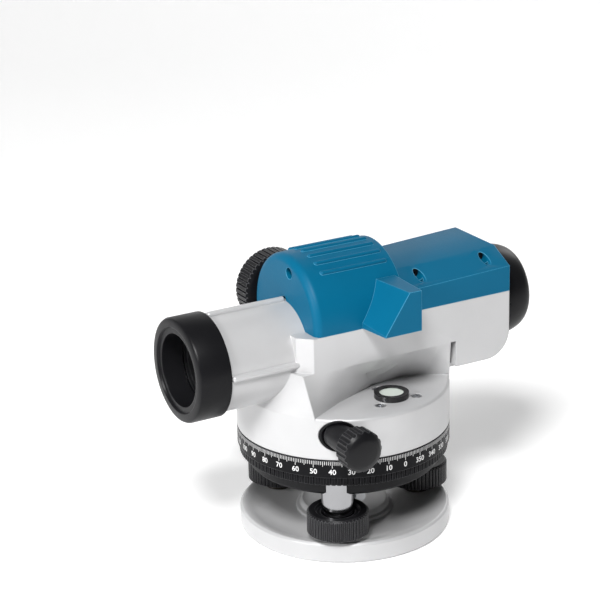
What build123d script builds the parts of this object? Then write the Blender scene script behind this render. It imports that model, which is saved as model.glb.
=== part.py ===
from build123d import *
import math
import os

# An automatic level, in millimetres. +X points forward along the line of sight, +Y to the
# side with the circular bubble and +Z up. The origin is the centre of the tripod thread,
# in the underside of the base plate.

# ---- Running fits and gaps between pieces that move apart ----
shaft_clearance = 0.05
gear_gap = 0.15
running_gap = 0.6

# ---- Base plate and its fittings ----
plate_radius = 59.6
plate_rim_height = 11.7
plate_rim_width = 3.2
plate_edge_chamfer = 1.2
plate_floor_height = 8.2
boss_radius = 25.0
boss_height = 13.0
boss_flange_radius = 27.5
boss_flange_height = 9.8
thread_bush_radius = 12.0
thread_minor_radius = 6.8

# ---- Foot screws: three on one circle ----
foot_count = 3
foot_circle_radius = 46.75
first_foot_angle = 55.0
ball_radius = 5.0
ball_height = 7.2
ball_clearance = 0.15
seat_radius = 7.6
seat_floor_height = 1.6
retainer_top = 10.6
stud_neck_radius = 3.0
stud_thread_radius = 3.95
stud_top = 40.0
foot_knob_radius = 17.2
foot_knob_bottom = 13.7
foot_knob_height = 13.5
foot_knob_grooves = 48
foot_knob_groove_depth = 0.7
foot_knob_edge = 1.2
foot_well_depth = 7.7
foot_well_radius = 9.7
foot_recess_radius = 12.6
foot_recess_depth = 1.4
sleeve_radius = 8.93
sleeve_bottom = 24.2
sleeve_bore_top = 44.0

# ---- Tribrach and vertical axis bush ----
tribrach_radius = 54.0
tribrach_bottom = 38.5
tribrach_top = 45.5
tribrach_edge = 1.5
tribrach_hub_radius = 17.0
tribrach_hub_bottom = 28.5
nut_chamber_radius = 14.0
nut_chamber_top = 34.0
collar_radius = 20.0
collar_top = 56.0
bush_radius = 12.0
bush_top = 77.0
bush_flange_radius = 15.5
bush_flange_bottom = 64.0
bush_flange_thickness = 2.0
spindle_radius = 8.95

# ---- Horizontal circle ----
circle_radius = 60.0
circle_top = 61.5
circle_skirt_top = 51.4
circle_skirt_bottom = 46.5
circle_skirt_radius = 58.9
circle_scallops = 120
circle_scallop_depth = 0.9
circle_wall = 3.0
circle_web_thickness = 3.0
circle_retainer_thickness = 1.2

# ---- Endless drive: worm wheel and tangent screw ----
wheel_teeth = 112
gear_module = 0.5
wheel_tooth_depth = 1.0
wheel_rim_bottom = 73.0
wheel_rim_top = 79.0
wheel_rim_wall = 3.8
wheel_web_thickness = 3.0
wheel_hub_radius = 16.0
wheel_hub_height = 7.2
clutch_washer_thickness = 1.2
retainer_thickness = 1.2
tangent_height = 76.0
tangent_shaft_radius = 2.5
worm_tip_radius = 3.5
worm_root_radius = 2.6
worm_length = 15.0
tangent_bush_radius = 9.0
tangent_bush_length = 20.0
tangent_bearing_length = 5.0
tangent_stem_radius = 7.4
tangent_stem_gap = 0.5
tangent_stem_depth = 13.0
tangent_knob_radius = 11.6
tangent_knob_gap = 4.5
tangent_knob_length = 13.5
tangent_knob_dome = 2.0
tangent_knob_scallops = 17
tangent_knob_scallop_radius = 1.5

# ---- Main housing ----
drum_radius = 60.0
drum_wall = 4.0
drum_ceiling = 81.6
shelf_height = 85.6
shelf_edge = 1.6
shoulder_height = 108.0
body_half_width = 35.0
body_wall = 4.0
body_front = 45.0
body_front_corner = 7.0
body_rear = -88.6
joint_height_front = 127.7
joint_height_rear = 131.0
joint_step = -20.0
cavity_floor = 96.0
cavity_front = 33.0
well_half_width = 20.4
tail_front = -53.0
tail_bottom = 93.0
tail_corner_radius = 15.0
keel_inset = 11.0
keel_bottom = 88.6
keel_rear = -78.0

# ---- Telescope tube and objective ----
sight_height = 112.2
tube_radius = 27.2
tube_wall = 3.7
tube_front = 88.0
tube_rear = 30.0
tube_rib_radius = 1.9
tube_rib_rise = 0.4
tube_rib_rear_gap = 2.0
objective_ring_wall = 1.8
objective_ring_rear = 84.3
objective_ring_front = 102.8
objective_step_width = 5.2
objective_step_depth = 1.2
aperture_step = 3.6
objective_ring_edge = 1.6
objective_cell_wall = 3.0
objective_lens_front = 84.0
objective_lens_thickness = 7.0
objective_lens_bulge = 1.6
objective_cell_rear = 70.0
retaining_ring_length = 2.5
retaining_ring_wall = 1.6

# ---- Focusing ----
focus_shaft_x = 18.0
focus_shaft_height = 131.0
focus_shaft_radius = 3.0
pinion_teeth = 14
pinion_tip_radius = 4.0
pinion_root_radius = 3.0
pinion_length = 8.0
pinion_side = -4.0
focus_bush_radius = 6.0
focus_bush_flange_radius = 8.0
focus_bush_flange_rise = 1.8
focus_boss_width = 22.0
focus_boss_bottom = 118.0
focus_boss_top = 136.4
focus_boss_depth = 10.0
focus_boss_gap = 0.8
focus_knob_radius = 21.5
focus_knob_gap = 0.6
focus_knob_length = 13.6
focus_knob_ribs = 44
focus_knob_rib_depth = 1.1
focus_knob_edge = 1.2
focus_cell_radius = 13.0
focus_cell_length = 24.0
focus_lens_radius = 10.5
focus_lens_thickness = 3.0
rack_width = 6.0
rack_length = 30.0
rack_tooth_pitch = 1.57
rod_radius = 1.5
rod_side = 17.0
rod_front = 40.0
ear_radius = 3.6

# ---- Compensator ----
frame_front = -12.0
frame_rear = -62.0
frame_half_width = 20.0
frame_base_thickness = 3.0
frame_plate_thickness = 3.0
frame_front_top = 127.0
frame_window_radius = 9.5
ear_half_length = 5.0
ear_thickness = 4.0
ear_top = 141.0
pivot_x = -36.0
pivot_height = 135.0
pivot_radius = 2.0
arm_width = 8.0
arm_thickness = 3.0
arm_side = 12.0
prism_size = 15.0
prism_height = 113.0
damper_blade_thickness = 2.0
damper_blade_bottom = 101.6
magnet_gap = 2.2
magnet_height = 7.0
magnet_length = 12.0
magnet_width = 5.0

# ---- Reticle and eyepiece ----
eye_height = 119.5
reticle_radius = 9.0
reticle_front = -64.0
reticle_length = 6.0
reticle_glass_radius = 7.0
eyepiece_collar_radius = 27.0
eyepiece_collar_rear = -92.4
eyepiece_sleeve_radius = 14.0
eyepiece_sleeve_rear = -101.0
eyepiece_tube_radius = 11.9
eyepiece_tube_front = -72.5
eyepiece_tube_rear = -110.0
eyepiece_tube_wall = 1.8
dioptre_front_gap = 0.5
dioptre_front_radius = 27.0
dioptre_rear_radius = 20.5
dioptre_rear = -112.0
dioptre_notches = 24
dioptre_notch_radius = 1.6
eye_lens_radius = 9.0
eye_lens_thickness = 4.0
field_lens_thickness = 5.0

# ---- Blue top cover and bubble hood ----
cover_wall = 2.4
cover_front = 36.0
cover_arc_height = 130.0
cover_box_front_top = 150.6
cover_box_rear_top = 153.6
cover_box_lap = 12.0
cover_box_front_shoulder = 17.0
cover_box_rear_shoulder = 15.5
cover_box_front_foot = 143.2
cover_box_rear_foot = 145.7
cover_rib_count = 7
cover_rib_spacing = 12.0
cover_rib_radius = 1.3
cover_rib_front = 23.6
cover_rib_rear = -15.4
cover_front_edge = 4.5
cover_screw_places = (-34.3, -77.3)
cover_screw_inset = 8.2
cover_recess_floor_inset = 15.5
cover_recess_radius = 2.5
front_screw_side = 6.0
front_screw_height = 156.3
front_recess_radius = 3.2
front_recess_depth = 5.0
recess_boss_wall = 1.6
recess_boss_floor = 2.0
screw_head_radius = 2.3
screw_head_height = 2.0
screw_shank_radius = 1.2
screw_socket_radius = 1.1
screw_socket_depth = 1.2
hood_rear = -17.7
hood_depth = 20.0
hood_top = 150.8
hood_bottom = 127.9
hood_wall = 2.0
mirror_thickness = 1.6

# ---- Circular bubble ----
bubble_x = -8.9
bubble_y = 37.6
vial_ring_radius = 9.65
vial_ring_height = 3.0
vial_window_radius = 6.75
vial_body_radius = 8.0
vial_depth = 3.4
vial_glass_radius = 7.2
bubble_pocket_radius = 14.0
bubble_screw_circle = 13.7
bubble_screw_angles = (33.0, 153.0, 273.0)
bubble_screw_recess_radius = 3.1
bubble_screw_head_radius = 2.5
bubble_screw_recess_depth = 1.4
bubble_screw_length = 3.2

# ---- Sizes that follow from others ----
tube_bore_radius = tube_radius - tube_wall
objective_ring_radius = tube_radius + objective_ring_wall
objective_step_radius = objective_ring_radius - objective_step_width
aperture_radius = objective_step_radius - aperture_step
objective_lens_radius = tube_bore_radius - objective_cell_wall
tangent_bush_inner_face = drum_radius - tangent_bush_length
tangent_stem_start = drum_radius - tangent_stem_depth
tangent_knob_start = drum_radius + tangent_knob_gap
focus_bush_flange_face = body_half_width + focus_bush_flange_rise
focus_knob_inner_face = focus_bush_flange_face + focus_knob_gap
focus_boss_inner_face = body_half_width - focus_boss_depth
hood_side = body_half_width + hood_depth
cover_screw_side = body_half_width - cover_screw_inset
cover_recess_floor = body_half_width - cover_recess_floor_inset
cover_box_front_half_width = body_half_width - cover_box_front_shoulder
cover_box_rear_half_width = body_half_width - cover_box_rear_shoulder
keel_half_width = body_half_width - keel_inset
foot_angles = [first_foot_angle + 360.0 / foot_count * n for n in range(foot_count)]


# ---------------------------------------------------------------- shape helpers
def rod(radius, start, end, along="Z", at=(0.0, 0.0)):
    """A round bar along one axis, from start to end, centred at the two other coordinates."""
    bar = Cylinder(radius, end - start, align=(Align.CENTER, Align.CENTER, Align.MIN))
    if along == "X":
        return Pos(start, at[0], at[1]) * Rot(0, 90, 0) * bar
    if along == "Y":
        return Pos(at[0], start, at[1]) * Rot(-90, 0, 0) * bar
    return Pos(at[0], at[1], start) * bar


def tube(outer, inner, start, end, along="Z", at=(0.0, 0.0)):
    """A round tube along one axis."""
    return rod(outer, start, end, along, at) - rod(inner, start, end, along, at)


def block(x_range, y_range, z_range):
    """A box between two corners."""
    size = (x_range[1] - x_range[0], y_range[1] - y_range[0], z_range[1] - z_range[0])
    corner = (Align.MIN, Align.MIN, Align.MIN)
    return Pos(x_range[0], y_range[0], z_range[0]) * Box(*size, align=corner)


def turned(points):
    """A solid of revolution about Z from (radius, height) points."""
    outline = Polyline(*[(r, 0, z) for r, z in points], close=True)
    return revolve(make_face(outline), Axis.Z)


def toothed(tip, root, teeth, height, land=0.5):
    """A prism with straight teeth round it; land is the share of each pitch that is tooth."""
    pitch = 2 * math.pi / teeth
    corners = []
    for n in range(teeth):
        middle = n * pitch
        for share, radius in ((-0.5, root), (-0.5 * land, tip), (0.5 * land, tip)):
            angle = middle + share * pitch
            corners.append((radius * math.cos(angle), radius * math.sin(angle)))
        angle = middle + 0.5 * pitch * (1.5 * land)
        corners.append((root * math.cos(angle), root * math.sin(angle)))
    return extrude(make_face(Polyline(*corners, close=True)), height)


def lens(radius, front, thickness, bulge, height):
    """A biconvex lens on the line of sight: a round disc whose two faces swell by bulge."""
    points = []
    steps = 8
    for n in range(steps + 1):
        r = radius * n / steps
        points.append((r, thickness / 2 - bulge * (r / radius) ** 2))
    lower = [(r, -z) for r, z in reversed(points[1:])] + [(0, -thickness / 2)]
    disc = turned(points + lower)
    return Pos(front - thickness / 2, 0, height) * Rot(0, 90, 0) * disc


def at_feet(shape):
    """Three copies of a shape drawn at the vertical axis, one on each foot screw's axis."""
    placed = []
    for angle in foot_angles:
        turn = math.radians(angle)
        spot = (foot_circle_radius * math.cos(turn), foot_circle_radius * math.sin(turn), 0)
        placed.append(Pos(*spot) * Rot(0, 0, angle) * shape)
    return placed


def mirrored(shape):
    """The same shape on the other side of the line of sight."""
    return mirror(shape, about=Plane.XZ)


# ---------------------------------------------------------------- base
def base_plate():
    """Round foot plate: flat below, dished above, with a central boss and three ball sockets."""
    rim = plate_radius - plate_rim_width
    profile = [
        (thread_bush_radius, 0),
        (plate_radius - plate_edge_chamfer, 0),
        (plate_radius, plate_edge_chamfer),
        (plate_radius, plate_rim_height - plate_edge_chamfer),
        (plate_radius - plate_edge_chamfer, plate_rim_height),
        (rim, plate_rim_height),
        (rim - 6 * plate_edge_chamfer, plate_rim_height - 2 * plate_edge_chamfer),
        (boss_flange_radius, plate_floor_height),
        (boss_flange_radius, boss_flange_height),
        (boss_radius + 0.6, boss_flange_height + 0.6),
        (boss_radius, boss_height - 1.0),
        (boss_radius - 1.0, boss_height),
        (thread_bush_radius, boss_height),
    ]
    plate = turned(profile)
    sockets = at_feet(rod(seat_radius, seat_floor_height, plate_rim_height + 1))
    for socket in sockets:
        plate -= socket
    return plate


def thread_bush():
    """Steel bush pressed into the boss, with the tripod screw's thread."""
    return tube(thread_bush_radius, thread_minor_radius, 0, boss_height)


def foot_seat():
    """Brass cup under a foot screw's ball, and the ring above that keeps the ball down."""
    ball_space = Pos(0, 0, ball_height) * Sphere(ball_radius + ball_clearance)
    cup = rod(seat_radius, seat_floor_height, ball_height) - ball_space
    ring = rod(seat_radius, ball_height, retainer_top) - ball_space
    ring -= rod(stud_neck_radius + 0.8, ball_height, retainer_top)
    return cup, ring


# ---------------------------------------------------------------- foot screws
def foot_stud():
    """Ball-ended steel screw; the thread is drawn at its outside size."""
    ball = Pos(0, 0, ball_height) * Sphere(ball_radius)
    neck = rod(stud_neck_radius, ball_height, foot_knob_bottom)
    shank = rod(stud_thread_radius, foot_knob_bottom, stud_top - 1)
    tip = Pos(0, 0, stud_top - 1) * Cone(
        stud_thread_radius, stud_thread_radius - 1, 1, align=(Align.CENTER, Align.CENTER, Align.MIN)
    )
    return ball + neck + shank + tip


def foot_knob():
    """Black grooved knob with a well in its top for the chrome sleeve."""
    top = foot_knob_bottom + foot_knob_height
    grip = toothed(
        foot_knob_radius, foot_knob_radius - foot_knob_groove_depth, foot_knob_grooves, foot_knob_height
    )
    grip = Pos(0, 0, foot_knob_bottom) * grip
    inner = stud_thread_radius
    envelope = turned(
        [
            (inner, foot_knob_bottom),
            (foot_knob_radius - 2 * foot_knob_edge, foot_knob_bottom),
            (foot_knob_radius, foot_knob_bottom + foot_knob_edge),
            (foot_knob_radius, top - foot_knob_edge),
            (foot_knob_radius - foot_knob_edge, top),
            (foot_recess_radius, top),
            (foot_recess_radius - 1.0, top - foot_recess_depth),
            (foot_well_radius, top - foot_recess_depth),
            (foot_well_radius, top - foot_well_depth),
            (inner, top - foot_well_depth),
        ]
    )
    return grip & envelope


# ---------------------------------------------------------------- tribrach
def tribrach():
    """Black plate that the three foot screws lift, with a hub below and a collar above."""
    body = turned(
        [
            (bush_radius, nut_chamber_top),
            (nut_chamber_radius, nut_chamber_top),
            (nut_chamber_radius, tribrach_hub_bottom),
            (tribrach_hub_radius, tribrach_hub_bottom),
            (tribrach_hub_radius, tribrach_bottom),
            (tribrach_radius - tribrach_edge, tribrach_bottom),
            (tribrach_radius, tribrach_bottom + tribrach_edge),
            (tribrach_radius, tribrach_top),
            (collar_radius, tribrach_top),
            (collar_radius, collar_top),
            (bush_radius, collar_top),
        ]
    )
    for hole in at_feet(rod(sleeve_radius, tribrach_bottom, tribrach_top)):
        body -= hole
    return body


def foot_sleeve():
    """Chrome sleeve, pressed into the tribrach, that holds the foot screw's nut thread."""
    sleeve = rod(sleeve_radius, sleeve_bottom, tribrach_top)
    return sleeve - rod(stud_thread_radius + shaft_clearance, sleeve_bottom, sleeve_bore_top)


def axis_bush():
    """Long brass bush that the vertical spindle turns in."""
    flange_top = bush_flange_bottom + bush_flange_thickness
    body = rod(bush_radius, nut_chamber_top, bush_top)
    body += rod(bush_flange_radius, bush_flange_bottom, flange_top)
    return body - rod(spindle_radius + shaft_clearance, nut_chamber_top, bush_top)


wheel_hub_bottom = bush_flange_bottom + bush_flange_thickness + clutch_washer_thickness
wheel_hub_bottom += shaft_clearance
wheel_hub_top = wheel_hub_bottom + wheel_hub_height


def clutch_washer():
    """Brass friction washer under the worm wheel."""
    bottom = bush_flange_bottom + bush_flange_thickness
    return tube(bush_flange_radius, bush_radius, bottom, bottom + clutch_washer_thickness)


def wheel_retainer():
    """Spring ring that holds the worm wheel down on the axis bush."""
    bottom = wheel_hub_top + shaft_clearance
    return tube(bush_radius + 2.4, bush_radius, bottom, bottom + retainer_thickness)


def circle_retainer():
    """Spring ring on the tribrach's collar that keeps the horizontal circle down."""
    bottom = circle_skirt_bottom + circle_web_thickness + shaft_clearance
    return tube(collar_radius + 2.0, collar_radius, bottom, bottom + circle_retainer_thickness)


def circle_washer():
    """Felt friction washer between the tribrach and the horizontal circle."""
    return tube(collar_radius + 12, collar_radius, tribrach_top, circle_skirt_bottom - shaft_clearance)


# ---------------------------------------------------------------- horizontal circle
def horizontal_circle():
    """Black graduated ring with a scalloped skirt, turning on the tribrach's collar."""
    band = tube(circle_radius, circle_radius - circle_wall, circle_skirt_top, circle_top)
    skirt = toothed(
        circle_skirt_radius,
        circle_skirt_radius - circle_scallop_depth,
        circle_scallops,
        circle_skirt_top - circle_skirt_bottom,
        0.6,
    )
    skirt = Pos(0, 0, circle_skirt_bottom) * skirt
    skirt -= rod(circle_radius - circle_wall, circle_skirt_bottom, circle_skirt_top)
    web_top = circle_skirt_bottom + circle_web_thickness
    web = rod(circle_radius - circle_wall, circle_skirt_bottom, web_top)
    web -= rod(collar_radius + shaft_clearance, circle_skirt_bottom, web_top)
    return band + skirt + web


# ---------------------------------------------------------------- endless drive
wheel_tip_radius = wheel_teeth * gear_module / 2 + gear_module
tangent_x = wheel_tip_radius + worm_tip_radius + gear_gap


def worm_wheel():
    """Brass worm wheel, clamped by friction so that the instrument can also be turned by hand."""
    rim_height = wheel_rim_top - wheel_rim_bottom
    teeth = toothed(wheel_tip_radius, wheel_tip_radius - wheel_tooth_depth, wheel_teeth, rim_height)
    rim = Pos(0, 0, wheel_rim_bottom) * teeth
    rim -= rod(wheel_tip_radius - wheel_rim_wall, wheel_rim_bottom, wheel_rim_top)
    web_bottom = wheel_rim_bottom - wheel_web_thickness
    web = rod(wheel_tip_radius - wheel_tooth_depth, web_bottom, wheel_rim_bottom)
    hub = rod(wheel_hub_radius, wheel_hub_bottom, wheel_hub_top)
    return rim + web + hub - rod(bush_radius + shaft_clearance, wheel_hub_bottom, wheel_hub_top)


def tangent_shaft():
    """Steel cross shaft with the worm cut in its middle."""
    place = (tangent_x, tangent_height)
    end = tangent_knob_start + tangent_knob_length / 2
    shaft = rod(tangent_shaft_radius, -end, end, "Y", place)
    pitch = math.pi * gear_module
    turns = int(worm_length / pitch)
    profile = [(0, 0)]
    for n in range(turns):
        start = n * pitch
        profile.append((worm_root_radius, start))
        profile.append((worm_tip_radius, start + 0.3 * pitch))
        profile.append((worm_tip_radius, start + 0.5 * pitch))
        profile.append((worm_root_radius, start + 0.8 * pitch))
    profile.append((worm_root_radius, turns * pitch))
    profile.append((0, turns * pitch))
    worm = Rot(-90, 0, 0) * turned(profile)
    return shaft + Pos(tangent_x, -turns * pitch / 2, tangent_height) * worm


def tangent_bush():
    """Black bush in the drum wall; its outer end follows the drum."""
    place = (tangent_x, tangent_height)
    bush = rod(tangent_bush_radius, tangent_bush_inner_face, drum_radius, "Y", place)
    bush &= rod(drum_radius + 0.4, drum_ceiling - 40, drum_ceiling + 40)
    bearing_end = tangent_bush_inner_face + tangent_bearing_length
    bush -= rod(tangent_shaft_radius + shaft_clearance, tangent_bush_inner_face, bearing_end, "Y", place)
    mouth = tangent_stem_radius + tangent_stem_gap
    return bush - rod(mouth, bearing_end, drum_radius + 1, "Y", place)


def tangent_knob():
    """Black scalloped knob with a long stem and a slightly domed face."""
    place = (tangent_x, tangent_height)
    end = tangent_knob_start + tangent_knob_length
    slope = 2 * tangent_knob_dome
    head = turned(
        [
            (0, 0),
            (tangent_knob_radius - 2, 0),
            (tangent_knob_radius, 2),
            (tangent_knob_radius, tangent_knob_length - 1.5 * tangent_knob_dome),
            (tangent_knob_radius - 0.5 * slope, tangent_knob_length - 0.5 * tangent_knob_dome),
            (tangent_knob_radius - 1.2 * slope, tangent_knob_length),
            (0, tangent_knob_length),
        ]
    )
    bite = rod(tangent_knob_scallop_radius, -1, tangent_knob_length + 1)
    reach = tangent_knob_radius + 0.5 * tangent_knob_scallop_radius
    for n in range(tangent_knob_scallops):
        head -= Rot(0, 0, n * 360 / tangent_knob_scallops) * Pos(reach, 0, 0) * bite
    head = Pos(tangent_x, tangent_knob_start, tangent_height) * Rot(-90, 0, 0) * head
    knob = head + rod(tangent_stem_radius, tangent_stem_start, tangent_knob_start + 1, "Y", place)
    return knob - rod(tangent_shaft_radius, 0, tangent_knob_start + tangent_knob_length / 2, "Y", place)


# ---------------------------------------------------------------- main housing
neck_foot = [(42.4, 42.4), (18.9, 29.1), (-8.7, 17.5), (-28.9, 15.4), (-42.4, 19.6), (-53.0, 28.1)]
neck_head_x = (45.0, 20.0, -9.0, -29.0, -42.0, -49.5)
neck_foot_nose = 60.0
neck_head_nose = 52.0
neck_foot_tail = -60.0
neck_head_tail = -60.5


def neck_outline(side, nose, end, height):
    """The neck's plan at one height: rounded front and rear, with five straight runs on each side."""
    left = [Vector(x, y, height) for x, y in side]
    right = [Vector(x, -y, height) for x, y in side]
    edges = [ThreePointArc(right[0], (nose, 0, height), left[0])]
    edges += [Line(a, b) for a, b in zip(left, left[1:])]
    edges.append(ThreePointArc(left[-1], (end, 0, height), right[-1]))
    back = list(reversed(right))
    edges += [Line(a, b) for a, b in zip(back, back[1:])]
    return make_face(edges)


def neck():
    """Waisted neck between the drum's shelf and the body above it."""
    head = [(x, body_half_width) for x in neck_head_x]
    foot_face = neck_outline(neck_foot, neck_foot_nose, neck_foot_tail, shelf_height)
    head_face = neck_outline(head, neck_head_nose, neck_head_tail, shoulder_height)
    return loft([foot_face, head_face], ruled=True)


def shelf_rounding():
    """What is cut from the shelf's outer edge to round it."""
    profile = [(drum_radius + 1, shelf_height - shelf_edge)]
    steps = 4
    for n in range(steps + 1):
        turn = math.radians(90 * n / steps)
        radius = drum_radius - shelf_edge + shelf_edge * math.cos(turn)
        profile.append((radius, shelf_height - shelf_edge + shelf_edge * math.sin(turn)))
    profile += [(drum_radius - shelf_edge, shelf_height + 1), (drum_radius + 1, shelf_height + 1)]
    outside = [(-90, 45), (-90, 90), (90, 90), (90, 55)]
    plan = [(x, y, shelf_height - 3) for x, y in neck_foot + outside]
    reach = extrude(make_face(Polyline(*plan, close=True)), 5)
    return turned(profile) & reach


def upper_body():
    """The straight-sided part of the casting behind the telescope tube."""
    w = body_half_width
    c = body_front_corner
    outline = [(body_rear, -w), (body_front - c, -w), (body_front, -w + c)]
    outline += [(body_front, w - c), (body_front - c, w), (body_rear, w)]
    sides = extrude(make_face(Polyline(*outline, close=True)), joint_height_front - shoulder_height)
    sides = Pos(0, 0, shoulder_height) * sides
    sides += block((body_rear, joint_step), (-w, w), (shoulder_height, joint_height_rear))
    return sides


def tail():
    """The rear of the casting below the eyepiece: a rounded box with a narrower keel."""
    def slab(front, rear, bottom, half_width):
        r = tail_corner_radius
        corner = [(rear, bottom + r)]
        for n in range(1, 8):
            turn = math.radians(90 * n / 8)
            corner.append((rear + r - r * math.cos(turn), bottom + r - r * math.sin(turn)))
        outline = [(front, shoulder_height + 2), (rear, shoulder_height + 2)] + corner
        outline += [(rear + r, bottom), (front, bottom)]
        face = make_face(Polyline(*[(x, half_width, z) for x, z in outline], close=True))
        return extrude(face, 2 * half_width, dir=(0, -1, 0))
    return slab(tail_front, body_rear, tail_bottom, body_half_width) + slab(
        tail_front, keel_rear, keel_bottom, keel_half_width
    )


def tube_ribs():
    """Cast ribs along the top and both sides of the telescope tube."""
    ribs = None
    for turn in (0, 90, 180):
        rib = Sphere(tube_rib_radius)
        rib = Pos(0, 0, 0) * rod(tube_rib_radius, 0, tube_front - 6 - body_front + 8, "X")
        rib += Pos(tube_front - 6 - body_front + 8, 0, 0) * Sphere(tube_rib_radius)
        rib = Pos(body_front - 8, tube_radius + tube_rib_rise, 0) * rib
        rib = Pos(0, 0, sight_height) * Rot(turn, 0, 0) * rib
        ribs = rib if ribs is None else ribs + rib
    return ribs


def main_housing():
    """Silver-painted casting: drum, neck, telescope tube and body, open on top under the cover."""
    casting = rod(drum_radius, circle_top + running_gap, shelf_height) + neck() + upper_body()
    casting -= shelf_rounding()
    casting -= mirrored(shelf_rounding())
    casting += tail()
    casting += rod(tube_radius, tube_rear, tube_front, "X", (0, sight_height))
    casting += tube_ribs()
    casting -= rod(drum_radius - drum_wall, circle_top, drum_ceiling)
    inside = body_half_width - body_wall
    cavity_rear = body_rear + body_wall
    casting -= block((cavity_rear, cavity_front), (-inside, inside), (shoulder_height, 200))
    casting -= block((cavity_rear, cavity_front), (-well_half_width, well_half_width), (cavity_floor, 200))
    casting -= rod(tube_bore_radius, cavity_front - 1, tube_front, "X", (0, sight_height))
    above = block((body_rear - 1, cavity_front), (-60, 60), (joint_height_rear, 200))
    casting -= above
    # boss for the focus bush, inside the cover's wall
    cover_inside = body_half_width - cover_wall - focus_boss_gap
    half = focus_boss_width / 2
    casting += block(
        (focus_shaft_x - half, focus_shaft_x + half - 7),
        (-cover_inside, -focus_boss_inner_face),
        (focus_boss_bottom, focus_boss_top),
    )
    focus_place = (focus_shaft_x, focus_shaft_height)
    casting -= rod(focus_bush_radius, -body_half_width - 1, -focus_boss_inner_face + 1, "Y", focus_place)
    # bubble pocket, vial hole and adjusting screw recesses in the shelf
    bubble_place = (bubble_x, bubble_y)
    casting -= rod(bubble_pocket_radius, shelf_height, shelf_height + 14, at=bubble_place)
    casting -= rod(vial_body_radius, drum_ceiling, shelf_height, at=bubble_place)
    for angle in bubble_screw_angles:
        spot = bubble_screw_spot(angle)
        casting -= rod(bubble_screw_recess_radius, shelf_height - bubble_screw_recess_depth, shelf_height, at=spot)
        shank_bottom = shelf_height - bubble_screw_length
        casting -= rod(1.2, shank_bottom, shelf_height, at=spot)
    # bores for the two tangent screw bushes
    for side in (-1, 1):
        ends = sorted((side * (tangent_bush_inner_face - 2), side * (drum_radius + 2)))
        casting -= rod(tangent_bush_radius, ends[0], ends[1], "Y", (tangent_x, tangent_height))
    for spot in spindle_screw_spots():
        casting -= rod(1.5, drum_ceiling - 1, drum_ceiling + 9, at=spot)
    # eyepiece hole and guide rod holes
    casting -= rod(eyepiece_tube_radius + 0.3, body_rear - 1, cavity_rear + 1, "X", (0, eye_height))
    for side in (-rod_side, rod_side):
        casting -= rod(rod_radius, cavity_front - 1, rod_front, "X", (side, sight_height))
    return casting


def bubble_screw_spot(angle):
    """Plan position of one vial adjusting screw."""
    turn = math.radians(angle)
    return (bubble_x + bubble_screw_circle * math.cos(turn), bubble_y + bubble_screw_circle * math.sin(turn))


def spindle_screw_spots():
    """Plan positions of the three screws that hold the spindle's flange."""
    return [(11.2 * math.cos(math.radians(a)), 11.2 * math.sin(math.radians(a))) for a in (0, 120, 240)]


# ---------------------------------------------------------------- spindle
spindle_flange_bottom = bush_top + running_gap
spindle_bottom = 30.5
nut_gap = 0.3


def spindle():
    """Steel vertical axis with the flange that the housing sits on."""
    body = rod(spindle_radius, spindle_bottom, spindle_flange_bottom)
    body += rod(14.0, spindle_flange_bottom, drum_ceiling)
    for spot in spindle_screw_spots():
        body -= rod(2.6, spindle_flange_bottom, spindle_flange_bottom + 1.8, at=spot)
        body -= rod(1.5, spindle_flange_bottom, drum_ceiling, at=spot)
    return body


def spindle_screws():
    """Three screws up through the spindle's flange into the housing."""
    screws = []
    for spot in spindle_screw_spots():
        head = rod(2.6, spindle_flange_bottom, spindle_flange_bottom + 1.8, at=spot)
        screws.append(head + rod(1.5, spindle_flange_bottom, drum_ceiling + 9, at=spot))
    return screws


def spindle_nut():
    """Round nut under the axis bush that keeps the spindle from lifting out."""
    return tube(12.5, spindle_radius, spindle_bottom, nut_chamber_top - nut_gap)


# ---------------------------------------------------------------- objective
def objective_ring():
    """Black ring round the front of the tube, with a stepped mouth."""
    ring = turned(
        [
            (tube_radius, 0),
            (objective_ring_radius, 0),
            (objective_ring_radius, objective_ring_front - objective_ring_rear - objective_ring_edge),
            (objective_ring_radius - 0.6, objective_ring_front - objective_ring_rear - 0.5),
            (objective_ring_radius - objective_ring_edge, objective_ring_front - objective_ring_rear),
            (objective_step_radius, objective_ring_front - objective_ring_rear),
            (objective_step_radius - 0.6, objective_ring_front - objective_ring_rear - objective_step_depth),
            (aperture_radius, objective_ring_front - objective_ring_rear - objective_step_depth),
            (aperture_radius, tube_front - objective_ring_rear + 1),
            (aperture_radius + 1, tube_front - objective_ring_rear),
            (tube_radius, tube_front - objective_ring_rear),
        ]
    )
    return Pos(objective_ring_rear, 0, sight_height) * Rot(0, 90, 0) * ring


def objective_cell():
    """Black lens cell inside the tube, with a seat behind the lens."""
    lens_rear = objective_lens_front - objective_lens_thickness
    place = (0, sight_height)
    cell = tube(tube_bore_radius, objective_lens_radius, lens_rear, tube_front, "X", place)
    return cell + tube(tube_bore_radius, objective_lens_radius - 2, objective_cell_rear, lens_rear, "X", place)


def objective_retainer():
    """Threaded ring in front of the objective lens."""
    start = objective_lens_front
    place = (0, sight_height)
    inner = objective_lens_radius - retaining_ring_wall
    return tube(objective_lens_radius, inner, start, start + retaining_ring_length, "X", place)


# ---------------------------------------------------------------- focusing
def focus_bush():
    """Brass bush of the focus shaft; its flange shows outside the cover."""
    place = (focus_shaft_x, focus_shaft_height)
    bush = rod(focus_bush_radius, -focus_bush_flange_face, -focus_boss_inner_face, "Y", place)
    bush += rod(focus_bush_flange_radius, -focus_bush_flange_face, -body_half_width - 0.1, "Y", place)
    bore = focus_shaft_radius + shaft_clearance
    return bush - rod(bore, -focus_bush_flange_face - 1, -focus_boss_inner_face + 1, "Y", place)


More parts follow.
